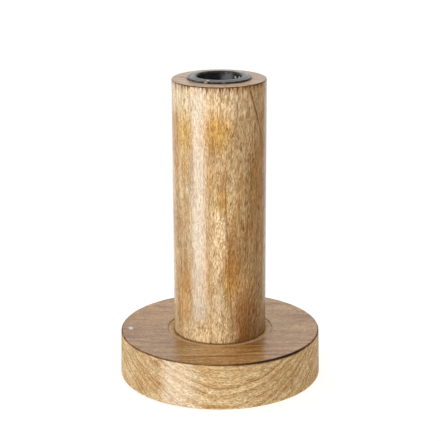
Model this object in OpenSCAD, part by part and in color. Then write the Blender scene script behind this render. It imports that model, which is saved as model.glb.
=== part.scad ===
// Turned wooden candlestick: a thick round column screwed to a disc base, with
// a pressed steel candle cup that drops into the column's top.
// Millimetres, +Z up, origin on the table, on the column's axis.

/* [Base] */
// Diameter of the base disc at its foot
base_d = 106; // [100:1:120]
// Diameter of the base disc at its upper edge
base_top_d = 104.8; // [100:0.1:120]
// Thickness of the base disc
base_h = 24.2; // [20:0.2:30]
// Rounding of the base's upper edge
base_top_round = 0.7; // [0.4:0.1:2]
// Rounding of the base's lower edge
base_foot_round = 1; // [0.4:0.1:2]

/* [Column] */
// Diameter of the column
column_d = 48.2; // [44:0.1:54]
// Height of the column above the base's upper face
column_h = 134.3; // [110:0.1:160]
// Rounding of the column's upper edge
column_top_round = 0.5; // [0.3:0.1:1.5]

/* [Joint between column and base] */
// Width of the turned ring that shows around the column's foot
register_margin = 3.6; // [2:0.2:6]
// Depth of the turned register that the column stands in
register_depth = 0.4; // [0.3:0.1:1.5]

/* [Candle cup] */
// Inner diameter of the cup, for a 22 mm dinner candle
cup_bore_d = 22.8; // [22.5:0.1:25]
// Depth of the cup, from the flange's upper face to the cup's floor
cup_depth = 24; // [16:1:30]
// Outer diameter of the cup's flange
flange_d = 33; // [31:0.5:38]
// Height of the flange's highest point above the wood
flange_rise = 1.4; // [1.4:0.1:2]
// Angle at which the flange slopes down to its outer edge
flange_slope = 7; // [0:1:7]
// Thickness of the cup's sheet steel
sheet_t = 0.8; // [0.6:0.1:0.8]
// Play between the cup and the wood around it, at the radius
socket_play = 0.2; // [0.1:0.05:0.4]

/* [Fastening] */
// Length of the screw under its head
screw_len = 45; // [40:1:50]
// Diameter of the counterbore for the screw's head
counterbore_d = 15.6; // [15.2:0.1:16]
// Depth of the counterbore
counterbore_h = 10; // [8:0.5:12]

/* [Felt pads] */
// Diameter of a felt pad
pad_d = 16; // [12:1:18]
// Thickness of a felt pad
pad_h = 1; // [0.8:0.1:2]
// Radius of the circle that the pads are set on
pad_circle_r = 38; // [32:1:38]

/* [Hidden] */
$fn = 96;

// Colours, as the finished pieces look.
wood_light = "#c99a5e";
wood_dark = "#b98a52";
lacquer_black = "#1c1c1e";
zinc = "#b9bcc0";
felt_grey = "#3a3633";

// Heights above the table.
base_bottom_z = pad_h;
base_top_z = base_bottom_z + base_h;
column_foot_z = base_top_z - register_depth;
column_top_z = base_top_z + column_h;
washer_seat_z = base_bottom_z + counterbore_h;

// Washer for an M5 screw, large series.
washer_d = 15;
washer_bore_d = 5.3;
washer_t = 1.2;

// Pan-head wood screw, 5 mm.
screw_head_d = 9.4;
screw_head_h = 3.2;
screw_shank_d = 3.8;
screw_core_d = 3.3;
screw_crest_d = 5;
screw_pitch = 3;
screw_plain_len = 15;
screw_point_len = 5;
screw_tip_share = 0.12;
screw_run_in = 1.5;
screw_hole_d = 5.5;
pilot_d = 3.4;
pilot_spare = 3;
under_head_z = washer_seat_z - washer_t;
recess_arm = 4.6;
recess_slot = 1.1;
recess_deep = 2;

// Cup.
cup_bore_r = cup_bore_d / 2;
cup_outer_r = cup_bore_r + sheet_t;
flange_r = flange_d / 2;
flange_top_z = column_top_z + flange_rise;
cup_floor_z = flange_top_z - cup_depth;
throat_round = 1.2;
floor_round = 1.5;
flange_edge_round = 0.35;
socket_r = cup_outer_r + socket_play;
socket_floor_z = cup_floor_z - sheet_t;

// Rows and columns of the thread's surface, in steps for each turn.
thread_steps = 12;

// Felt pads, spaced evenly from 45 degrees on, so that none is at the front.
pad_count = 4;
pad_first_angle = 45;

// Points of an arc about a centre, from one angle to another.
function arc(centre, r, from, to, steps = 8) = [
    for (i = [0 : steps])
        let (a = from + (to - from) * i / steps)
            centre + r * [cos(a), sin(a)]
];

// A solid of revolution, with a rounding at its lower and upper outer edges.
module turned(foot_r, top_r, h, foot_round, top_round) {
    rotate_extrude()
        polygon(concat(
            [[0, 0]],
            arc([foot_r - foot_round, foot_round], foot_round, -90, 0),
            arc([top_r - top_round, h - top_round], top_round, 0, 90),
            [[0, h]]
        ));
}

// A hole from one height up to another, on the axis.
module bore(d, from_z, to_z) {
    translate([0, 0, from_z])
        cylinder(d = d, h = to_z - from_z);
}

module base_disc() {
    color(wood_light)
        difference() {
            translate([0, 0, base_bottom_z])
                turned(base_d / 2, base_top_d / 2, base_h, base_foot_round, base_top_round);
            bore(column_d + 2 * register_margin, column_foot_z, base_top_z + 1);
            bore(screw_hole_d, base_bottom_z - 1, base_top_z + 1);
            bore(counterbore_d, base_bottom_z - 1, washer_seat_z);
        }
}

module column() {
    r = column_d / 2;
    foot_edge_round = 0.3;
    pilot_top_z = under_head_z + screw_len + pilot_spare;
    color(wood_dark)
        difference() {
            translate([0, 0, column_foot_z])
                turned(r, r, column_top_z - column_foot_z, foot_edge_round, column_top_round);
            bore(2 * socket_r, socket_floor_z, column_top_z + 1);
            bore(pilot_d, column_foot_z - 1, pilot_top_z);
        }
}

// One sheet of steel, drawn down into a cup with a flange that slopes outwards.
// The cup stands on the socket's floor, which holds the flange's edge just clear
// of the wood.
module candle_cup() {
    slope_end = 90 - flange_slope;
    bend = [cup_bore_r + throat_round, flange_top_z - throat_round];
    bend_under_r = throat_round - sheet_t;
    slope_top = bend + throat_round * [cos(slope_end), sin(slope_end)];
    slope_under = bend + bend_under_r * [cos(slope_end), sin(slope_end)];
    edge_r = flange_r - flange_edge_round;
    edge_top_r = edge_r + flange_edge_round * cos(slope_end);
    edge_top_z = slope_top[1] - (edge_top_r - slope_top[0]) * tan(flange_slope);
    edge_z = edge_top_z - flange_edge_round * sin(slope_end);
    edge_under_z = slope_under[1] - (flange_r - slope_under[0]) * tan(flange_slope);
    color(lacquer_black)
        rotate_extrude()
            polygon(concat(
                [[0, cup_floor_z - sheet_t]],
                arc([cup_bore_r - floor_round, cup_floor_z + floor_round],
                    floor_round + sheet_t, -90, 0),
                arc(bend, bend_under_r, 180, slope_end),
                [[flange_r, edge_under_z]],
                arc([edge_r, edge_z], flange_edge_round, 0, slope_end),
                arc(bend, throat_round, slope_end, 180),
                arc([cup_bore_r - floor_round, cup_floor_z + floor_round],
                    floor_round, 0, -90),
                [[0, cup_floor_z]]
            ));
}

module screw_washer() {
    color(zinc)
        difference() {
            bore(washer_d, under_head_z, washer_seat_z);
            bore(washer_bore_d, under_head_z - 1, washer_seat_z + 1);
        }
}

// Share of the thread's full height at a phase of the turn, 0 to 1: a sharp
// crest one step wide, a flank on each side of it, and a wide flat root.
flank_share = 0.35;
function ridge(phase) =
    let (off = abs(phase - floor(phase) - 0.5) * thread_steps)
        off < 0.5 ? 1 : off < 1.5 ? flank_share : 0;

// The screw's threaded end, as one surface of rows around the axis that
// climbs from z = 0 to a point at z = length.
module threaded_end(length) {
    rows = floor(length / screw_pitch * thread_steps);
    core = screw_core_d / 2;
    deep = (screw_crest_d - screw_core_d) / 2;
    points = [
        for (i = [0 : rows], j = [0 : thread_steps - 1])
            let (
                z = length * i / rows,
                a = 360 * j / thread_steps,
                run_in = min(1, z / screw_run_in),
                taper = (1 - screw_tip_share) * (length - z) / screw_point_len,
                point = min(1, screw_tip_share + taper),
                r = point * (core + run_in * deep * ridge((i - j) / thread_steps))
            )
                [r * cos(a), r * sin(a), z]
    ];
    sides = [
        for (i = [0 : rows - 1], j = [0 : thread_steps - 1])
            let (
                k = (j + 1) % thread_steps,
                low = i * thread_steps,
                high = low + thread_steps
            )
                each [[low + j, high + k, low + k], [low + j, high + j, high + k]]
    ];
    foot = [[for (j = [0 : thread_steps - 1]) j]];
    tip = [[for (j = [thread_steps - 1 : -1 : 0]) rows * thread_steps + j]];
    polyhedron(points, concat(foot, sides, tip));
}

module centre_screw() {
    head_r = screw_head_d / 2;
    dome_round = 2.4;
    seat_round = 0.2;
    head_bottom_z = under_head_z - screw_head_h;
    color(zinc)
        union() {
            // The head is domed downwards, with a cross recess.
            difference() {
                translate([0, 0, head_bottom_z])
                    turned(head_r, head_r, screw_head_h, dome_round, seat_round);
                for (turn = [0, 90])
                    rotate([0, 0, turn])
                        translate([-recess_arm / 2, -recess_slot / 2, head_bottom_z - 1])
                            cube([recess_arm, recess_slot, recess_deep + 1]);
            }
            bore(screw_shank_d, under_head_z, under_head_z + screw_plain_len);
            translate([0, 0, under_head_z + screw_plain_len])
                threaded_end(screw_len - screw_plain_len);
        }
}

module felt_pad(index) {
    r = pad_d / 2;
    lower_round = 0.25;
    upper_round = 0.05;
    color(felt_grey)
        rotate([0, 0, pad_first_angle + 360 * index / pad_count])
            translate([pad_circle_r, 0, 0])
                turned(r, r, pad_h, lower_round, upper_round);
}

base_disc();
column();
candle_cup();
centre_screw();
screw_washer();
for (index = [0 : pad_count - 1])
    felt_pad(index);
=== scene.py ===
"""A turned wooden candlestick with a black steel candle cup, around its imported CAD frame.

Lengths are metres in the frame and millimetres in the outlines and materials, which say so.
"""

import math

import bmesh
import bpy
from mathutils import Matrix, Vector, noise

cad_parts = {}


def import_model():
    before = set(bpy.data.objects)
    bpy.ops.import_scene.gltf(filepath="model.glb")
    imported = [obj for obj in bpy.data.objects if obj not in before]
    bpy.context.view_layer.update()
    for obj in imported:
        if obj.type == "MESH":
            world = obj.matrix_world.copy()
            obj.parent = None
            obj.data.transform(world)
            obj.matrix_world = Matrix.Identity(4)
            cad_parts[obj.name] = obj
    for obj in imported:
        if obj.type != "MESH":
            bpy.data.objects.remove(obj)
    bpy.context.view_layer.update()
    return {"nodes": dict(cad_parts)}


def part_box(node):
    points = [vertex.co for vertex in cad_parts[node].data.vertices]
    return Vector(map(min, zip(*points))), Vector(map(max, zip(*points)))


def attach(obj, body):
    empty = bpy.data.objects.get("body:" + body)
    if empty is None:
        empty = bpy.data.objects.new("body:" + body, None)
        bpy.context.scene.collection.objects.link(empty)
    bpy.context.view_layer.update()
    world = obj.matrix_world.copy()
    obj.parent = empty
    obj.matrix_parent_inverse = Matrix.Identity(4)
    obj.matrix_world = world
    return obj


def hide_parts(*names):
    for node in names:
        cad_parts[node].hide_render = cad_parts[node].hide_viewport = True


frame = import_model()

MM = 0.001

# ---------------------------------------------------------------- camera

# Metres, radians and, for the lens, millimetres. The camera stands on the -Y side.
CAMERA_BACK = 0.6818
CAMERA_HEIGHT = 0.2921
CAMERA_PITCH = 0.2958
CAMERA_YAW = 0.0007
CAMERA_ROLL = -0.0032
CAMERA_LENS = 111.8
SENSOR_WIDTH = 36


def make_camera():
    data = bpy.data.cameras.new("camera")
    data.lens = CAMERA_LENS
    data.sensor_width = SENSOR_WIDTH
    data.dof.use_dof = False
    camera = bpy.data.objects.new("camera", data)
    turn = Matrix.Rotation(-CAMERA_YAW, 4, "Z")
    tip = Matrix.Rotation(math.pi / 2 - CAMERA_PITCH, 4, "X")
    roll = Matrix.Rotation(CAMERA_ROLL, 4, "Z")
    place = Matrix.Translation((0, -CAMERA_BACK, CAMERA_HEIGHT))
    camera.matrix_world = place @ turn @ tip @ roll
    bpy.context.scene.collection.objects.link(camera)
    bpy.context.scene.camera = camera


make_camera()
bpy.context.scene.view_settings.view_transform = "Standard"

# ---------------------------------------------------------------- sizes, in millimetres


def heights(node):
    """Lowest and highest point of a CAD node."""
    low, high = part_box(node)
    return low.z / MM, high.z / MM


def radius(node):
    """Outer radius of a CAD node that stands on the axis."""
    low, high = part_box(node)
    return (high.x - low.x) / 2 / MM


BASE_TAPER = 0.6
BASE_R = radius("base_disc")
BASE_TOP_R = BASE_R - BASE_TAPER
BASE_BOTTOM, BASE_TOP = heights("base_disc")
COLUMN_R = radius("column")
COLUMN_FOOT, COLUMN_TOP = heights("column")
FLANGE_R = radius("candle_cup")
CUP_BOTTOM, CUP_TOP = heights("candle_cup")
WASHER_SEAT = heights("screw_washer")[1]
SCREW_TOP = heights("centre_screw")[1]

# What the boxes don't tell.
REGISTER_MARGIN = 3.6
REGISTER_R = COLUMN_R + REGISTER_MARGIN
COUNTERBORE_R = 7.8
SCREW_HOLE_R = 2.75
PILOT_R = 1.7
PILOT_SPARE = 3
SHEET = 0.8
CUP_BORE_R = 11.4
FLANGE_FALL = 0.45
SOCKET_PLAY = 0.2
SOCKET_R = CUP_BORE_R + SHEET + SOCKET_PLAY

# ---------------------------------------------------------------- turned shapes

ARC_STEPS = 7
# Millimetres from the end of an arc to the point that keeps the flat face beside it flat.
GRIP = 0.12
TURN_STEPS = 384
CUP_STEPS = 256
PAD_STEPS = 160


def rounded(corners):
    """Outline points from corners (radius, height, rounding), with an arc in place of each rounded
    corner and one more point just beyond each of its ends, which keeps the flat faces flat."""
    points = []
    for i, (r, z, rounding) in enumerate(corners):
        here = Vector((r, z))
        if rounding == 0:
            points.append(here)
            continue
        before = Vector(corners[i - 1][:2])
        after = Vector(corners[(i + 1) % len(corners)][:2])
        back, on = (before - here).normalized(), (after - here).normalized()
        half = back.angle(on) / 2
        centre = here + (back + on).normalized() * rounding / math.sin(half)
        reach = rounding / math.tan(half)
        start = (here + back * reach - centre).normalized()
        end = (here + on * reach - centre).normalized()
        points.append(here + back * (reach + GRIP))
        for k in range(ARC_STEPS + 1):
            points.append(centre + start.slerp(end, k / ARC_STEPS) * rounding)
        points.append(here + on * (reach + GRIP))
    return points


def subdivided(points, longest, closed):
    """The same outline with no stretch longer than a length."""
    made = []
    ends = points[1:] + points[:1] if closed else points[1:]
    for a, b in zip(points, ends):
        parts = max(1, math.ceil((b - a).length / longest))
        made += [a.lerp(b, k / parts) for k in range(parts)]
    return made if closed else made + [points[-1]]


def lathe(name, points, closed, bend=None, steps=TURN_STEPS):
    """A mesh object turned round Z from an outline. An open outline starts and ends on the axis.
    bend moves each point of the surface, in millimetres."""
    mesh = bmesh.new()
    rings = []
    for r, z in points:
        angles = [0] if r == 0 else [2 * math.pi * k / steps for k in range(steps)]
        ring = []
        for a in angles:
            place = Vector((r * math.cos(a), r * math.sin(a), z))
            ring.append(mesh.verts.new((bend(place) if bend else place) * MM))
        rings.append(ring)
    pairs = zip(rings, rings[1:] + rings[:1]) if closed else zip(rings, rings[1:])
    for low, high in pairs:
        for k in range(steps):
            n = (k + 1) % steps
            if len(low) == 1:
                mesh.faces.new((low[0], high[n], high[k]))
            elif len(high) == 1:
                mesh.faces.new((low[k], low[n], high[0]))
            else:
                mesh.faces.new((low[k], low[n], high[n], high[k]))
    bmesh.ops.recalc_face_normals(mesh, faces=mesh.faces)
    return finished(name, mesh)


def finished(name, mesh):
    """A smooth-shaded object from a bmesh."""
    data = bpy.data.meshes.new(name)
    mesh.to_mesh(data)
    mesh.free()
    data.shade_smooth()
    piece = bpy.data.objects.new(name, data)
    bpy.context.scene.collection.objects.link(piece)
    return piece


# ---------------------------------------------------------------- materials


class Field:
    """A number that varies over a surface: a node's output, with arithmetic."""

    def __init__(self, paint, socket):
        self.paint = paint
        self.socket = socket

    def _math(self, operation, *values):
        return self.paint.math(operation, *values)

    def __add__(self, other):
        return self._math("ADD", self, other)

    def __sub__(self, other):
        return self._math("SUBTRACT", self, other)

    def __rsub__(self, other):
        return self._math("SUBTRACT", other, self)

    def __mul__(self, other):
        return self._math("MULTIPLY", self, other)

    def __truediv__(self, other):
        return self._math("DIVIDE", self, other)

    def __pow__(self, other):
        return self._math("POWER", self, other)

    def size(self):
        """The number without its sign."""
        return self._math("ABSOLUTE", self)

    def part(self):
        """What the number has behind its decimal point."""
        return self._math("FRACT", self)

    def most(self, other):
        """The larger of two numbers."""
        return self._math("MAXIMUM", self, other)

    def rise(self, low, high):
        """0 below low, 1 above high, and a smooth step between them."""
        node = self.paint.add("ShaderNodeMapRange", interpolation_type="SMOOTHSTEP")
        self.paint.link(self, node.inputs["Value"])
        self.paint.link(low, node.inputs["From Min"])
        self.paint.link(high, node.inputs["From Max"])
        return Field(self.paint, node.outputs["Result"])

    def fall(self, low, high):
        """1 below low, 0 above high."""
        return 1 - self.rise(low, high)

    def between(self, low, full, fading, high):
        """0 below low, 1 from full to fading, and 0 above high."""
        return self.rise(low, full) * self.fall(fading, high)


class Paint:
    """A material's node tree, written as calls that return Fields and colours."""

    def __init__(self, name, **values):
        self.material = bpy.data.materials.new(name)
        self.material.use_nodes = True
        self.tree = self.material.node_tree
        self.shader = self.tree.nodes["Principled BSDF"]
        for socket, value in values.items():
            self.shader.inputs[socket.replace("_", " ")].default_value = value
        place = self.add("ShaderNodeTexCoord")
        scaled = self.add("ShaderNodeVectorMath", operation="SCALE")
        self.tree.links.new(place.outputs["Object"], scaled.inputs[0])
        scaled.inputs["Scale"].default_value = 1 / MM
        split = self.add("ShaderNodeSeparateXYZ")
        self.tree.links.new(scaled.outputs[0], split.inputs[0])
        self.x, self.y, self.z = (Field(self, out) for out in split.outputs)
        self.r = (self.x * self.x + self.y * self.y) ** 0.5
        self.azimuth = self.math("ARCTAN2", self.x, 0 - self.y) * math.degrees(1)

    def add(self, kind, **settings):
        node = self.tree.nodes.new(kind)
        for key, value in settings.items():
            setattr(node, key, value)
        return node

    def link(self, value, socket):
        """Feeds a Field, an output or a plain value to an input."""
        if isinstance(value, Field):
            value = value.socket
        if isinstance(value, bpy.types.NodeSocket):
            self.tree.links.new(value, socket)
        elif socket.type == "RGBA":
            socket.default_value = (*value, 1)
        else:
            socket.default_value = value

    def math(self, operation, *values):
        node = self.add("ShaderNodeMath", operation=operation)
        for value, socket in zip(values, node.inputs):
            self.link(value, socket)
        return Field(self, node.outputs[0])

    def vector(self, x, y, z):
        node = self.add("ShaderNodeCombineXYZ")
        for value, socket in zip((x, y, z), node.inputs):
            self.link(value, socket)
        return node.outputs[0]

    def noise(self, x, y, z, detail=2, rough=0.5):
        """Smooth noise from 0 to 1 of a place, one unit to a lump."""
        node = self.add("ShaderNodeTexNoise")
        self.link(self.vector(x, y, z), node.inputs["Vector"])
        node.inputs["Scale"].default_value = 1
        node.inputs["Detail"].default_value = detail
        node.inputs["Roughness"].default_value = rough
        return Field(self, node.outputs["Fac"])

    def cells(self, x, y, z):
        """Distance to the nearest of many random points, about one to a unit cube."""
        node = self.add("ShaderNodeTexVoronoi")
        self.link(self.vector(x, y, z), node.inputs["Vector"])
        node.inputs["Scale"].default_value = 1
        return Field(self, node.outputs["Distance"])

    def mix(self, share, start, end, blend="MIX"):
        """A colour that goes from start to end as share goes from 0 to 1."""
        node = self.add("ShaderNodeMix", data_type="RGBA", blend_type=blend)
        self.link(share, node.inputs["Factor"])
        colours = [s for s in node.inputs if s.type == "RGBA"]
        self.link(start, colours[0])
        self.link(end, colours[1])
        return next(s for s in node.outputs if s.type == "RGBA")

    def tint(self, share, tone, factor):
        """The tone, multiplied by a factor as far as share says."""
        return self.mix(share, tone, factor, blend="MULTIPLY")

    def colour(self, value):
        self.link(value, self.shader.inputs["Base Color"])

    def bump(self, height, depth, *sockets):
        """Height from 0 to 1 as a relief of a depth in millimetres, for the named normals."""
        node = self.add("ShaderNodeBump")
        node.inputs["Distance"].default_value = depth * MM
        self.link(height, node.inputs["Height"])
        for name in sockets:
            self.tree.links.new(node.outputs[0], self.shader.inputs[name])


def wear(piece, material):
    piece.data.materials.clear()
    piece.data.materials.append(material)


# Wood. Its fibres run along one axis and its growth rings lie round a pith line beside the piece.

CREAM = (0.90, 0.70, 0.44)
STRAW = (0.80, 0.59, 0.33)
HONEY = (0.70, 0.45, 0.20)
GOLD = (0.78, 0.46, 0.12)
HIGHLIGHT_GREY = (0.47, 0.42, 0.30)
AMBER = (0.60, 0.29, 0.07)
TAN = (0.58, 0.37, 0.18)
WALNUT = (0.44, 0.25, 0.10)
RUST = (0.34, 0.13, 0.035)
UMBER = (0.24, 0.105, 0.035)
PORE = (0.16, 0.06, 0.018)
RIM_DARKEST = (0.042, 0.014, 0.011)
RIM_DARK = (0.15, 0.045, 0.012)
TICK = (0.17, 0.05, 0.018)
TOP_EDGE_DARK = (0.05, 0.018, 0.010)
END_GRAIN = (1.0, 0.73, 0.50)
END_STAIN = (0.30, 0.19, 0.12)
WAX_WHITE = (0.98, 0.98, 0.97)

# Factors that a tone is multiplied by. First those for darker and for lighter figure, and then, on
# the column, for its sapwood and for lighter patches.
SHADE = (0.50, 0.37, 0.22)
GLEAM = (1.20, 1.22, 1.28)
SAPWOOD = (0.99, 1.07, 1.17)
GLOW = (1.22, 1.21, 1.17)

# Factors for the base: all of it, its figure, sharp ring lines, painted shade on the left side, a
# painted highlight at the front left, the upper face, the waves on that, and the floor of the ring
# round the column's foot.
BASE_CAST = (0.98, 0.96, 0.87)
BASE_SHADE = (0.66, 0.46, 0.24)
RING_EDGE = (0.50, 0.32, 0.16)
LEFT_SIDE_SHADE = (0.84, 0.87, 0.96)
HIGHLIGHT_WHITE = (0.96, 1.04, 1.26)
DEEPER = (1.03, 0.84, 0.58)
DEEP_WAVE = (0.62, 0.44, 0.27)
PALER = (1.18, 1.06, 0.88)

# Depth of the lacquer's relief, in millimetres.
RELIEF = 0.22


class Grain:
    """The figure of a piece of mango wood. across_1 and across_2 are the two directions across the
    fibres, and along is the one along them, all in millimetres. fleck is the length of its flecks
    as a share of the usual one."""

    def __init__(self, paint, across_1, across_2, along, pith, lean, ring, fleck):
        p, u, v, w = paint, across_1, across_2, along
        sway_u = p.noise(u / 34, v / 34, w / 95, 2) - 0.5
        sway_v = p.noise(u / 34 + 40, v / 34, w / 95, 2) - 0.5
        curl_u = p.noise(u / 7, v / 7 + 20, w / 16, 2) - 0.5
        curl_v = p.noise(u / 7, v / 7 + 60, w / 16, 2) - 0.5
        kink = p.noise(u / 3.5, v / 3.5 + 80, w / 6, 1) - 0.5
        u = u + sway_u * 9 + curl_u * 2.2 + kink * 2.2
        v = v + sway_v * 9 + curl_v * 2.2 + kink * 2.2
        away_u = u - pith[0] - w * lean[0]
        away_v = v - pith[1] - w * lean[1]
        depth = (away_u * away_u + away_v * away_v) ** 0.5
        far = math.hypot(*pith)
        inward_u, inward_v = -pith[0] / far, -pith[1] / far
        ahead = away_u * inward_u + away_v * inward_v
        aside = away_u * inward_v - away_v * inward_u
        round_ring = p.math("ARCTAN2", aside, ahead) * far
        count = depth / ring + p.noise(depth / 11, 0, w / 160, 1) * 2.2
        phase = count.part()
        self.late = phase.between(0.45, 0.93, 0.93, 1)
        # Now and then a growth ring ends in a sharper line.
        sharp = (count / 3.1 + 0.4).part()
        self.boundary = sharp.between(0.87, 0.96, 0.96, 1)
        self.fibre = p.noise(depth / 0.38, round_ring / 0.42, w / 5 / fleck, 2, 0.6)
        strand = p.noise(depth / 1.0 + 30, round_ring / 1.1, w / 13 / fleck, 2, 0.6)
        self.hair = (strand - 0.5).size().fall(0.0, 0.06)
        self.streak = p.noise(depth / 1.9, round_ring / 1.9, w / 26, 3, 0.55)
        self.mottle = p.noise(u / 4.5, v / 4.5 + 50, w / 12, 3, 0.6)
        self.cloud = p.noise(u / 14, v / 14, w / 30, 3, 0.55)
        self.blush = p.noise(u / 19 + 70, v / 19, w / 40, 2, 0.5)
        density = p.noise(u / 5, v / 5, w / 14, 2)
        # A few long, straight, thin lines run through the shorter figure.
        thread = p.noise(across_1 / 1.6, across_2 / 1.6 + 30, w / 110, 1)
        grouped = p.noise(across_1 / 6, across_2 / 6 + 90, w / 34, 2)
        self.thread = (thread - 0.5).size().fall(0.0, 0.04) * grouped.rise(0.42, 0.56)
        self.band = p.noise(across_1 / 3.6 + 15, across_2 / 3.6, w / 100, 2)
        long_pore = p.cells(depth / 0.75, round_ring / 0.75, w / 7 / fleck).fall(0.14, 0.34)
        fine_pore = p.cells(depth / 0.55 + 9, round_ring / 0.55, w / 3.5 / fleck).fall(0.14, 0.36)
        self.pores = (long_pore * density.rise(0.30, 0.56)).most(fine_pore * 0.6)

    def ground(self, paint, light, mid, dark):
        """Clouds of three tones."""
        tone = paint.mix(self.cloud.rise(0.38, 0.60), mid, light)
        tone = paint.mix(self.blush.rise(0.48, 0.66) * 0.7, tone, dark)
        return paint.mix(self.mottle.rise(0.46, 0.66) * 0.4, tone, dark)

    def figure(self, paint, tone, rings, flecks, shade):
        """The tone with its figure drawn in. rings is the strength of the late wood and the streaks,
        which multiply it by shade, and flecks that of the lines, fibres and pores."""
        tone = paint.tint(self.late * rings, tone, shade)
        tone = paint.tint(self.streak.rise(0.50, 0.68) * rings, tone, shade)
        straight = (self.thread * 0.7).most(self.band.rise(0.50, 0.66) * 0.2)
        tone = paint.tint(straight * flecks, tone, SHADE)
        tone = paint.tint(self.fibre.fall(0.38, 0.52) * flecks, tone, GLEAM)
        dark = (self.fibre.rise(0.50, 0.66) * 0.8).most(self.hair * 0.8)
        tone = paint.tint(dark * flecks, tone, SHADE)
        return paint.mix(self.pores * flecks * 0.85, tone, PORE)

    def relief(self):
        """Height of the lacquer: it sinks into the pores and follows the figure in slow waves."""
        return self.fibre * 0.08 - self.pores * 0.14 + self.streak * 0.3 + self.mottle * 0.9


LACQUER = {
    "Roughness": 0.42,
    "Specular_IOR_Level": 0.0,
    "Coat_Weight": 1.0,
    "Coat_Roughness": 0.24,
    "Coat_IOR": 1.46,
}

# The base's coat reflects more and covers less than the column's.
BASE_COAT_IOR = 2.2

# Patches of colour on the column: azimuth in degrees, share of the column's height, half width in
# degrees, half height in millimetres, colour, strength. Azimuth 0 is the front, 90 the right.
COLUMN_PATCHES = (
    (-24, 0.94, 78, 15, CREAM, 0.9),
    # Painted highlight colour: a greyer strip under the lacquer's highlight, so that the highlight
    # reads as near white.
    (-28, 0.5, 15, 110, HIGHLIGHT_GREY, 0.6),
    (-4, 0.83, 20, 15, GOLD, 0.9),
    (-46, 0.82, 20, 15, GOLD, 0.6),
    (-66, 0.72, 10, 18, AMBER, 0.7),
    (16, 0.64, 5, 19, CREAM, 0.6),
    (2, 0.93, 16, 9, CREAM, 0.6),
    (4, 0.565, 10, 10, GOLD, 0.7),
    (2, 0.46, 13, 12, CREAM, 0.9),
    (-2, 0.34, 14, 19, CREAM, 0.75),
    (2, 0.17, 11, 15, CREAM, 0.7),
    (38, 0.85, 22, 20, STRAW, 0.6),
    (16, 0.42, 9, 11, WALNUT, 0.6),
    (15, 0.29, 13, 17, AMBER, 0.8),
    (31, 0.10, 23, 18, RUST, 0.6),
    (9, 0.22, 7, 15, GOLD, 0.7),
    (-56, 0.37, 22, 26, TAN, 0.7),
    (-56, 0.15, 22, 15, AMBER, 0.4),
    (-12, 0.02, 36, 12, CREAM, 1.0),
    (150, 0.35, 34, 30, AMBER, 0.7),
    (-140, 0.6, 28, 34, CREAM, 0.6),
    (110, 0.7, 30, 24, RUST, 0.4),
    (-105, 0.85, 24, 20, GOLD, 0.7),
)

# Patches that lighten the figure too: azimuth, share of the height, half width, half height.
COLUMN_GLOWS = (
    (0, 0.90, 17, 14),
    (1, 0.38, 15, 26),
    (-12, 0.03, 38, 12),
    (30, 0.14, 24, 22),
    (160, 0.8, 30, 20),
)

# Long dark marks: azimuth and share of the height of the two ends, half width in degrees, strength.
COLUMN_MARKS = (
    ((15.5, 0.02), (6, 0.66), 1.1, 0.75),
    ((64, 0.77), (37, 1.0), 2.2, 1.0),
    ((-47, 0.42), (-46, 0.82), 1.2, 0.45),
    ((-41, 0.50), (-40, 0.74), 1.0, 0.40),
    ((-16, 0.40), (-17, 0.72), 0.9, 0.45),
    ((26, 0.30), (24, 0.60), 1.1, 0.40),
    ((-96, 0.2), (-88, 0.85), 1.5, 0.5),
    ((172, 0.1), (166, 0.7), 2.0, 0.5),
)


def up_column(share):
    """The height above the floor of a share of the column's height."""
    return COLUMN_FOOT + share * (COLUMN_TOP - COLUMN_FOOT)


def ellipse(paint, angle, share, half_angle, half_height, ragged):
    """1 in the middle of a patch on the column, fading to 0 at its ragged edge."""
    across = (paint.azimuth - angle) / half_angle
    up = (paint.z - up_column(share)) / half_height
    away = (across * across + up * up) ** 0.5 + (ragged - 0.5) * 1.6
    return away.fall(0.3, 1.1)


def line(paint, low, high, half_width):
    """1 on a straight mark on the column between two points, 0 off it."""
    a0, a1 = low[0], high[0]
    z0, z1 = up_column(low[1]), up_column(high[1])
    share = (paint.z - z0) / (z1 - z0)
    off = (paint.azimuth - (share * (a1 - a0) + a0)).size()
    return off.fall(half_width * 0.3, half_width) * share.between(-0.05, 0.15, 0.85, 1.05)


def column_tone(p, grain):
    """The colour of the column's side."""
    tone = grain.ground(p, STRAW, HONEY, AMBER)
    # The side towards the right is darker brown than the rest: partly heartwood, and partly painted
    # shade on the side turned away from the key light.
    height = COLUMN_TOP - COLUMN_FOOT
    heartwood_and_shade = (p.azimuth + grain.cloud * 30).rise(24, 56) * p.azimuth.fall(120, 165)
    heartwood_and_shade = heartwood_and_shade * (0.6 - p.z.rise(BASE_TOP + 0.75 * height, COLUMN_TOP) * 0.3)
    tone = p.mix(heartwood_and_shade, tone, WALNUT)
    ragged = grain.streak * 0.4 + grain.mottle * 0.6
    for *place, colour, strength in COLUMN_PATCHES:
        tone = p.mix(ellipse(p, *place, ragged) * strength, tone, colour)
    tone = grain.figure(p, tone, rings=0.25, flecks=0.92, shade=SHADE)
    # The side towards the left is sapwood, less orange than the rest.
    tone = p.tint(p.azimuth.between(-120, -80, -44, -30), tone, SAPWOOD)
    for place in COLUMN_GLOWS:
        tone = p.tint(ellipse(p, *place, ragged), tone, GLOW)
    broken = grain.fibre.rise(0.30, 0.55) * 0.6 + 0.4
    for low, high, half_width, strength in COLUMN_MARKS:
        tone = p.mix(line(p, low, high, half_width) * broken * strength, tone, UMBER)
    return tone


def end_grain(p, tone, top):
    """End grain drinks more lacquer, so the flat top is duller and darker, with stains."""
    tone = p.mix(top * 0.85, tone, END_GRAIN)
    stained = p.noise(p.x / 5, p.y / 5, 7, 4, 0.65).rise(0.46, 0.66)
    stained = (stained * 0.6).most(p.azimuth.between(40, 80, 120, 160) * 0.22)
    return p.mix(top * stained, tone, END_STAIN)


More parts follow.
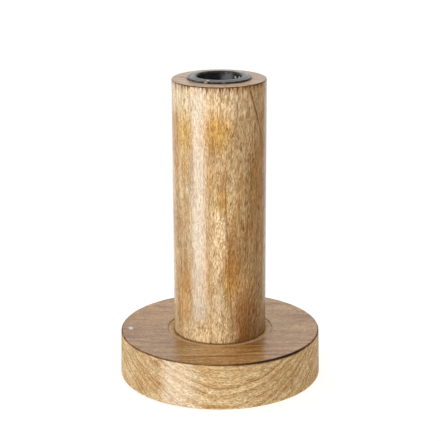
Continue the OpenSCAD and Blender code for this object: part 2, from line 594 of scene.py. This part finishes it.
def scorched_fibres(p, tone):
    """Torn, scorched fibres hang down from the column's upper edge, which has a dark line along it.
    """
    below = COLUMN_TOP - p.z
    side = below.rise(0.1, 0.3)
    length = p.noise(p.x / 1.1, p.y / 1.1, 0, 2) * 18 - 7.6
    halo = (below - length * 1.2).fall(-3, 2) * side
    tone = p.mix(halo * 0.6, tone, RUST)
    ticks = (below - length).fall(-1.2, 0.3) * side
    tone = p.mix(ticks * 0.9, tone, TICK)
    darker = p.noise(p.x / 6, p.y / 6, 3, 2).rise(0.35, 0.6)
    edge = below.fall(0.36, 0.75) * below.rise(0.02, 0.10) * (darker * 0.45 + 0.55)
    return p.mix(edge * 0.9, tone, TOP_EDGE_DARK)


def column_wood():
    p = Paint("column_wood", **LACQUER)
    grain = Grain(p, p.x, p.y, p.z, pith=(-16, 95), lean=(0.05, 0.10), ring=6.5, fleck=0.85)
    top = p.z.rise(COLUMN_TOP - 0.16, COLUMN_TOP - 0.04)
    tone = end_grain(p, column_tone(p, grain), top)
    tone = scorched_fibres(p, tone)
    # Painted contact shadow, with some glue, darkens the foot where it meets the base.
    foot = p.z.fall(BASE_TOP + 0.05, BASE_TOP + 0.6)
    p.colour(p.mix(foot * 0.5, tone, UMBER))
    # The coat is thinner on the top, low down, where it is handled, and on the front right.
    handled = p.z.fall(BASE_TOP + 5, BASE_TOP + 60) * 0.35
    dull = p.azimuth.between(0, 12, 40, 70) * 0.75
    p.link(1 - (top * 0.45).most(handled).most(dull), p.shader.inputs["Coat Weight"])
    p.bump(grain.relief(), RELIEF, "Normal", "Coat Normal")
    return p.material


def base_tone(p, grain):
    """The colour of the base's side, and of its upper face without the deeper coat."""
    tone = p.tint(1.0, grain.ground(p, CREAM, STRAW, HONEY), BASE_CAST)
    tone = grain.figure(p, tone, rings=0.55, flecks=0.75, shade=BASE_SHADE)
    drawn = grain.boundary * (grain.cloud.rise(0.35, 0.6) * 0.5 + 0.35)
    tone = p.tint(drawn, tone, RING_EDGE)
    # Painted shade darkens and greys the left side, where the key light falls most.
    painted_left_shade = (p.azimuth + grain.mottle * 14).fall(-34, -10) * p.azimuth.rise(-120, -80)
    tone = p.tint(painted_left_shade, tone, LEFT_SIDE_SHADE)
    # A painted highlight whitens the front left, under the lacquer's highlight.
    painted_highlight = (p.azimuth + grain.mottle * 8).rise(-32, -24) * p.azimuth.fall(-16, -8)
    return p.tint(painted_highlight, tone, HIGHLIGHT_WHITE)


def deeper_coat(p, tone, top):
    """The upper face took a deeper coat, with darker waves along the grain."""
    deep = p.tint(1.0, tone, DEEPER)
    wave = p.noise(p.x / 30, p.y / 5.5 + p.noise(p.x / 14, p.y / 9, 4, 2) * 1.6, 1, 3, 0.6)
    deep = p.tint(wave.rise(0.50, 0.66) * 0.5, deep, DEEP_WAVE)
    return p.mix(top, tone, deep)


def foot_ring(p, tone, patchy):
    """The turned ring round the column's foot: pale floor, dark outer line, and painted shade in the
    crease at the column.
    """
    sunk = p.z.rise(COLUMN_FOOT - 0.2, COLUMN_FOOT - 0.1) * p.r.fall(REGISTER_R - 0.5, REGISTER_R)
    tone = p.tint(sunk, tone, PALER)
    bright = (p.r - REGISTER_R + 1.3).size().fall(0.5, 1.1) * p.azimuth.size().fall(80, 120)
    tone = p.mix(sunk * bright * 0.6, tone, CREAM)
    outline = (p.r - REGISTER_R).size().fall(0.2, 0.8) * p.z.rise(BASE_TOP - 0.6, BASE_TOP)
    tone = p.mix(outline * (patchy.rise(0.35, 0.6) * 0.4 + 0.05), tone, UMBER)
    # Painted shade darkens the crease where the column stands in the base.
    crease = p.r.fall(COLUMN_R + 0.1, COLUMN_R + 0.6) * p.z.rise(BASE_TOP - 1, BASE_TOP - 0.5)
    return p.mix(crease * 0.7, tone, PORE)


def base_wood():
    p = Paint("base_wood", **dict(LACQUER, Coat_IOR=BASE_COAT_IOR))
    grain = Grain(p, p.y, p.z, p.x, pith=(12, -44), lean=(0.04, 0.02), ring=3.0, fleck=0.4)
    top = p.z.rise(BASE_TOP - 0.6, BASE_TOP - 0.1) * p.r.rise(COLUMN_R, REGISTER_R)
    tone = deeper_coat(p, base_tone(p, grain), top)
    # A dark line runs round the upper edge, heaviest at the front right.
    from_edge = (BASE_TOP_R - p.r).most(0) + (BASE_TOP - p.z)
    heavy = p.azimuth.between(0, 24, 46, 68)
    patchy = p.noise(p.x / 5, p.y / 5, p.z / 5, 4, 0.6)
    stain = (from_edge / 3.2 + patchy).fall(0.5, 1.3) * heavy
    tone = p.mix(stain * 0.6, tone, RUST)
    rim = (from_edge / (heavy * 0.4 + patchy * 0.9 + 0.3)).fall(0.55, 1.1)
    tone = p.mix(rim * (heavy * 0.15 + 0.82), tone, p.mix(heavy, RIM_DARK, RIM_DARKEST))
    tone = foot_ring(p, tone, patchy)
    # One small drop of white wax stands above the upper face.
    p.colour(p.mix(p.z.rise(BASE_TOP + 0.04, BASE_TOP + 0.08), tone, WAX_WHITE))
    # The lacquer is thick on the upper face, thin on the side and worn over the dark line.
    dry = (p.azimuth + grain.mottle * 14).fall(-32, -20) * 0.09
    dull = p.azimuth.between(0, 12, 40, 70) * 0.11
    side_gloss = 0.16 - dry.most(dull)
    gloss = top * (0.68 - side_gloss) + side_gloss
    p.link(gloss * (1 - rim * 0.85), p.shader.inputs["Coat Weight"])
    p.bump(grain.relief(), RELIEF, "Normal", "Coat Normal")
    return p.material


# Black paint.

ENAMEL = (0.022, 0.021, 0.022)
ENAMEL_INSIDE = (0.045, 0.042, 0.046)
DUST = (0.12, 0.10, 0.088)
RUBBED_SHEEN = (0.62, 0.56, 0.51)
SMEAR_HIGHLIGHT = (0.62, 0.62, 0.66)
BARE = (0.30, 0.24, 0.19)

# Chips in the paint, and specks of wax whose white is partly a painted glint: azimuth round the cup,
# radius, depth under its top, reach, colour.
CUP_CHIPS_AND_GLINTS = (
    (115, 11.4, 2.5, 1.3, (0.98, 0.98, 0.98)),
    (133, 11.4, 2.6, 0.9, (0.90, 0.90, 0.92)),
    (104, 11.4, 3.7, 0.7, (0.60, 0.60, 0.62)),
    (-23, 14.2, 0.1, 0.8, (0.90, 0.88, 0.84)),
    (-24, 16.4, 0.9, 1.0, (0.66, 0.48, 0.32)),
    (8, 16.5, 0.9, 0.8, (0.30, 0.22, 0.16)),
)


def black_paint():
    p = Paint("black_paint", Specular_IOR_Level=0.3, Coat_Roughness=0.15)
    orange_peel = p.noise(p.x / 0.8, p.y / 0.8, p.z / 0.8, 3)
    dust = p.noise(p.x / 2.2, p.y / 2.2, p.z / 2.2, 4, 0.6).rise(0.42, 0.68)
    inside = p.r.fall(CUP_BORE_R + 0.2, CUP_BORE_R + 0.7)
    tone = p.mix(dust, ENAMEL, DUST)
    # Lighter grey on the flange's left and right: partly worn paint, partly painted sheen.
    rubbed_and_sheen = p.noise(p.x / 2.6, p.y / 2.6, p.z + 20, 4, 0.7).rise(0.47, 0.62)
    rubbed_and_sheen = rubbed_and_sheen * p.azimuth.fall(-80, -20).most(p.azimuth.rise(50, 100) * 0.8)
    rubbed_and_sheen = rubbed_and_sheen * p.r.rise(CUP_BORE_R + 0.8, CUP_BORE_R + 1.8)
    tone = p.mix(rubbed_and_sheen * 0.85, tone, RUBBED_SHEEN)
    tone = p.mix(inside * 0.3, tone, ENAMEL_INSIDE)
    # A pale smear on the far wall, just under the rim: a painted highlight, with some dust.
    up = (p.z - CUP_TOP + 3.0) / 2.8
    across = (p.azimuth - 157) / 21
    smear = (across * across + up * up) ** 0.5 + (dust - 0.5) * 0.5
    tone = p.mix(smear.fall(0.1, 1.1) * inside * 0.8, tone, SMEAR_HIGHLIGHT)
    # The paint is knocked off in places along the flange's edge.
    lip = p.r.rise(FLANGE_R - 0.6, FLANGE_R - 0.15)
    knocked = p.noise(p.x / 1.6, p.y / 1.6, p.z, 3, 0.7).rise(0.60, 0.66)
    tone = p.mix(lip * knocked * 0.8, tone, BARE)
    # Chips, and white specks that are partly painted glints.
    for angle, r, down, reach, colour in CUP_CHIPS_AND_GLINTS:
        turn = math.radians(angle)
        off_x, off_y = p.x - r * math.sin(turn), p.y + r * math.cos(turn)
        off_z = p.z - (CUP_TOP - down)
        off = (off_x * off_x + off_y * off_y + off_z * off_z) ** 0.5
        tone = p.mix((off / reach).fall(0.7, 1.0), tone, colour)
    p.colour(tone)
    p.link(0.22 - rubbed_and_sheen * 0.2, p.shader.inputs["Coat Weight"])
    p.link(dust * 0.15 + inside * 0.12 + 0.28, p.shader.inputs["Roughness"])
    p.bump(orange_peel, 0.08, "Normal", "Coat Normal")
    return p.material


# Zinc-plated steel and felt.

ZINC = (0.50, 0.51, 0.53)
ZINC_BRIGHT = (0.72, 0.73, 0.74)
ZINC_STAIN = (0.60, 0.55, 0.42)
FELT_SHADE = (0.022, 0.018, 0.015)
FELT_HAIR = (0.11, 0.09, 0.075)


def zinc_steel():
    p = Paint("zinc_steel", Metallic=1.0)
    turned = p.noise(p.r / 0.12, p.azimuth / 60, p.z / 0.4, 2)
    stain = p.noise(p.x / 3, p.y / 3, p.z / 3, 3)
    tone = p.mix(stain, ZINC, ZINC_BRIGHT)
    p.colour(p.mix(stain.rise(0.6, 0.8) * 0.4, tone, ZINC_STAIN))
    p.link(turned * 0.2 + 0.22, p.shader.inputs["Roughness"])
    p.bump(turned, 0.01, "Normal")
    return p.material


def felt():
    p = Paint("felt", Roughness=0.95, Specular_IOR_Level=0.1, Sheen_Weight=0.35, Sheen_Roughness=0.5)
    swirl = p.noise(p.x / 1.5, p.y / 1.5, p.z, 2) * 3
    hairs = p.noise(p.x / 0.14 + swirl, p.y / 0.9 + swirl, p.z / 0.14, 4, 0.7)
    cross = p.noise(p.x / 0.9 - swirl, p.y / 0.14 + swirl, p.z / 0.14, 4, 0.7)
    fuzz = hairs.most(cross)
    p.colour(p.mix(fuzz.rise(0.45, 0.75), FELT_SHADE, FELT_HAIR))
    p.bump(fuzz, 0.25, "Normal")
    return p.material


# ---------------------------------------------------------------- pieces

# Greatest depth of the dents in the upper edges of the base and the column, in millimetres.
DENT = 0.22

# Middle, half size and height of the drop of wax on the base's upper face.
WAX = (-47.2, -1.9)
WAX_HALF = (1.0, 1.7)
WAX_H = 0.7


def worn_base(place):
    """Small dents along the base's upper edge, and the drop of wax."""
    r = math.hypot(place.x, place.y)
    near_edge = max(0, 1 - (abs(BASE_TOP_R - r) + abs(BASE_TOP - place.z)) / 2)
    dent = max(0, noise.noise(place / 3.1)) * DENT * near_edge
    away = math.hypot((place.x - WAX[0]) / WAX_HALF[0], (place.y - WAX[1]) / WAX_HALF[1])
    wax = max(0, 1 - away * away) * WAX_H if place.z > BASE_TOP - 0.01 else 0
    return place - Vector((place.x * dent / r, place.y * dent / r, -wax))


def worn_column(place):
    """Small nicks along the column's upper edge."""
    r = math.hypot(place.x, place.y)
    if r < SOCKET_R + 1:
        return place
    near_edge = max(0, 1 - (abs(COLUMN_R - r) + abs(COLUMN_TOP - place.z)) / 1.6)
    nick = max(0, noise.noise(Vector((place.x, place.y, 0)) / 1.3)) * DENT * near_edge
    return place - Vector((place.x * nick / r, place.y * nick / r, nick * 0.5))


def uneven_flange(place):
    """The flange of a pressed cup is never quite flat."""
    r = math.hypot(place.x, place.y)
    out = (r - CUP_BORE_R - SHEET) / (FLANGE_R - CUP_BORE_R - SHEET)
    if out <= 0:
        return place
    wave = noise.noise(Vector((place.x / 14, place.y / 14, 5)))
    nick = max(0, noise.noise(Vector((place.x / 2.2, place.y / 2.2, 9))) - 0.25) * 0.5
    low = Vector((0, 0, -0.1 * out * max(0, wave)))
    return place + low - Vector((place.x, place.y, 0)) * nick * max(0, out - 0.85) / r


def base_disc():
    corners = [
        (COUNTERBORE_R, BASE_BOTTOM, 0.4),
        (BASE_R, BASE_BOTTOM, 1.0),
        (BASE_TOP_R, BASE_TOP, 0.7),
        (REGISTER_R, BASE_TOP, 0.2),
        (REGISTER_R, COLUMN_FOOT, 0.1),
        (SCREW_HOLE_R, COLUMN_FOOT, 0),
        (SCREW_HOLE_R, WASHER_SEAT, 0),
        (COUNTERBORE_R, WASHER_SEAT, 0.1),
    ]
    points = subdivided(rounded(corners), longest=0.8, closed=True)
    return lathe("turned_base", points, closed=True, bend=worn_base)


def column():
    corners = [
        (0, SCREW_TOP + PILOT_SPARE, 0),
        (PILOT_R, SCREW_TOP + PILOT_SPARE, 0),
        (PILOT_R, COLUMN_FOOT, 0),
        (COLUMN_R, COLUMN_FOOT, 0.3),
        (COLUMN_R, COLUMN_TOP, 0.5),
        (SOCKET_R, COLUMN_TOP, 0.25),
        (SOCKET_R, CUP_BOTTOM, 0.4),
        (0, CUP_BOTTOM, 0),
    ]
    points = subdivided(rounded(corners), longest=1.6, closed=False)
    return lathe("turned_column", points, closed=False, bend=worn_column)


def candle_cup():
    corners = [
        (0, CUP_BOTTOM, 0),
        (CUP_BORE_R + SHEET, CUP_BOTTOM, 1.5 + SHEET),
        (CUP_BORE_R + SHEET, CUP_TOP - SHEET, 0.4),
        (FLANGE_R, CUP_TOP - SHEET - FLANGE_FALL, 0.2),
        (FLANGE_R, CUP_TOP - FLANGE_FALL, 0.4),
        (CUP_BORE_R + 2.2, CUP_TOP, 3.0),
        (CUP_BORE_R, CUP_TOP, 1.2),
        (CUP_BORE_R, CUP_BOTTOM + SHEET, 1.5),
        (0, CUP_BOTTOM + SHEET, 0),
    ]
    points = subdivided(rounded(corners), longest=0.9, closed=False)
    return lathe("pressed_cup", points, closed=False, bend=uneven_flange, steps=CUP_STEPS)


def felt_pad(index, node):
    """A felt disc with a soft, slightly ragged outline."""
    low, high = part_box(node)
    centre = (low + high) / 2 / MM
    r = (high.x - low.x) / 2 / MM
    corners = [(0, low.z / MM, 0), (r, low.z / MM, 0.3), (r, high.z / MM, 0.15), (0, high.z / MM, 0)]

    def ragged(place):
        reach = math.hypot(place.x, place.y) / r
        tug = abs(noise.noise(Vector((place.x, place.y, place.z * 2 + index * 7)) / 0.7)) * 0.3
        inward = Vector((place.x, place.y, 0)) / r * tug * reach ** 6
        return place - inward + Vector((centre.x, centre.y, 0))

    points = subdivided(rounded(corners), longest=0.8, closed=False)
    return lathe(f"felt_disc_{index}", points, closed=False, bend=ragged, steps=PAD_STEPS)


def place_piece(piece, body, node, material):
    wear(piece, material)
    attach(piece, body)
    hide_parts(node)


place_piece(base_disc(), "stand", "base_disc", base_wood())
place_piece(column(), "stand", "column", column_wood())
place_piece(candle_cup(), "cup", "candle_cup", black_paint())
felt_material = felt()
for number in range(1, 5):
    pad = f"felt_pad_{number}"
    place_piece(felt_pad(number, pad), "stand", pad, felt_material)
steel = zinc_steel()
for part in ("centre_screw", "screw_washer"):
    wear(frame["nodes"][part], steel)

# ---------------------------------------------------------------- studio

FLOOR_HALF = 3.0
FLOOR_GREY = 0.45
FLOOR_GLOW = 0.8
# How far towards +Y a direction points where the white backdrop begins and is full.
BACKDROP_FROM = 0.66
BACKDROP_FULL = 0.80
BACKDROP = 1.0
# The room's strength on the left and on the right, and how far towards +X it goes over.
ROOM_LEFT = 0.58
ROOM_RIGHT = 0.20
ROOM_FROM = 0.2
ROOM_TO = 0.9
# The softboxes: degrees, metres, and radiance in watts per square metre and steradian. A lift is
# the height of a softbox's middle, which is below the floor here: reflections don't see the floor.
KEY_AZIMUTH = 51.5
KEY_DISTANCE = 1.2
KEY_WIDTH = 0.75
KEY_HEIGHT = 0.72
KEY_LIFT = -0.24
KEY_RADIANCE = 21.0
STRIP_DISTANCE = 1.18
STRIP_RADIANCE = 19.0
STRIP_HEIGHT = 0.56
STRIP_LIFT = -0.31


def floor():
    data = bpy.data.meshes.new("floor")
    corners = [(-1, -1), (1, -1), (1, 1), (-1, 1)]
    data.from_pydata([(x * FLOOR_HALF, y * FLOOR_HALF, 0) for x, y in corners], [], [(0, 1, 2, 3)])
    piece = bpy.data.objects.new("floor", data)
    bpy.context.scene.collection.objects.link(piece)
    material = bpy.data.materials.new("floor")
    material.use_nodes = True
    shader = material.node_tree.nodes["Principled BSDF"]
    shader.inputs["Base Color"].default_value = (FLOOR_GREY, FLOOR_GREY, FLOOR_GREY, 1)
    shader.inputs["Roughness"].default_value = 1
    shader.inputs["Specular IOR Level"].default_value = 0
    shader.inputs["Emission Color"].default_value = (1, 1, 1, 1)
    shader.inputs["Emission Strength"].default_value = FLOOR_GLOW
    data.materials.append(material)
    piece.visible_glossy = False


def world():
    """A white backdrop behind, a dimmer room elsewhere, and plain white where the camera looks."""
    made = bpy.data.worlds.new("studio")
    made.use_nodes = True
    tree = made.node_tree
    shader = tree.nodes["Background"]
    where = tree.nodes.new("ShaderNodeTexCoord")
    split = tree.nodes.new("ShaderNodeSeparateXYZ")
    tree.links.new(where.outputs["Generated"], split.inputs[0])
    behind = tree.nodes.new("ShaderNodeMapRange")
    behind.interpolation_type = "SMOOTHSTEP"
    behind.inputs["From Min"].default_value = BACKDROP_FROM
    behind.inputs["From Max"].default_value = BACKDROP_FULL
    behind.inputs["To Max"].default_value = BACKDROP
    tree.links.new(split.outputs["Y"], behind.inputs["Value"])
    aside = tree.nodes.new("ShaderNodeMapRange")
    aside.inputs["From Min"].default_value = ROOM_FROM
    aside.inputs["From Max"].default_value = ROOM_TO
    aside.inputs["To Min"].default_value = ROOM_LEFT
    aside.inputs["To Max"].default_value = ROOM_RIGHT
    tree.links.new(split.outputs["X"], aside.inputs["Value"])
    tree.links.new(aside.outputs["Result"], behind.inputs["To Min"])
    seen = tree.nodes.new("ShaderNodeLightPath")
    strength = tree.nodes.new("ShaderNodeMix")
    tree.links.new(seen.outputs["Is Camera Ray"], strength.inputs["Factor"])
    tree.links.new(behind.outputs["Result"], strength.inputs["A"])
    strength.inputs["B"].default_value = 1.0
    tree.links.new(strength.outputs["Result"], shader.inputs["Strength"])
    shader.inputs["Color"].default_value = (1, 1, 1, 1)
    bpy.context.scene.world = made


def softbox(name, azimuth, distance, height, width, tall, radiance):
    """A rectangular light that faces the axis, at an azimuth to the left of the camera. distance is
    from the axis, and height is that of its middle."""
    data = bpy.data.lights.new(name, "AREA")
    data.shape = "RECTANGLE"
    data.size, data.size_y = width, tall
    data.energy = radiance * math.pi * width * tall
    light = bpy.data.objects.new(name, data)
    turn = math.radians(azimuth)
    place = Vector((-math.sin(turn) * distance, -math.cos(turn) * distance, height))
    light.location = place
    light.rotation_mode = "QUATERNION"
    light.rotation_quaternion = (-Vector((place.x, place.y, 0))).to_track_quat("-Z", "Y")
    light.visible_camera = False
    bpy.context.scene.collection.objects.link(light)
    return light


floor()
world()
key = softbox("key", KEY_AZIMUTH, KEY_DISTANCE, KEY_LIFT, KEY_WIDTH, KEY_HEIGHT, KEY_RADIANCE)
key.visible_glossy = False
# The lacquer mirrors a lower strip, which keeps the highlight off the edges seen from the sides.
strip = softbox(
    "strip", KEY_AZIMUTH, STRIP_DISTANCE, STRIP_LIFT, KEY_WIDTH, STRIP_HEIGHT, STRIP_RADIANCE
)
strip.visible_diffuse = False
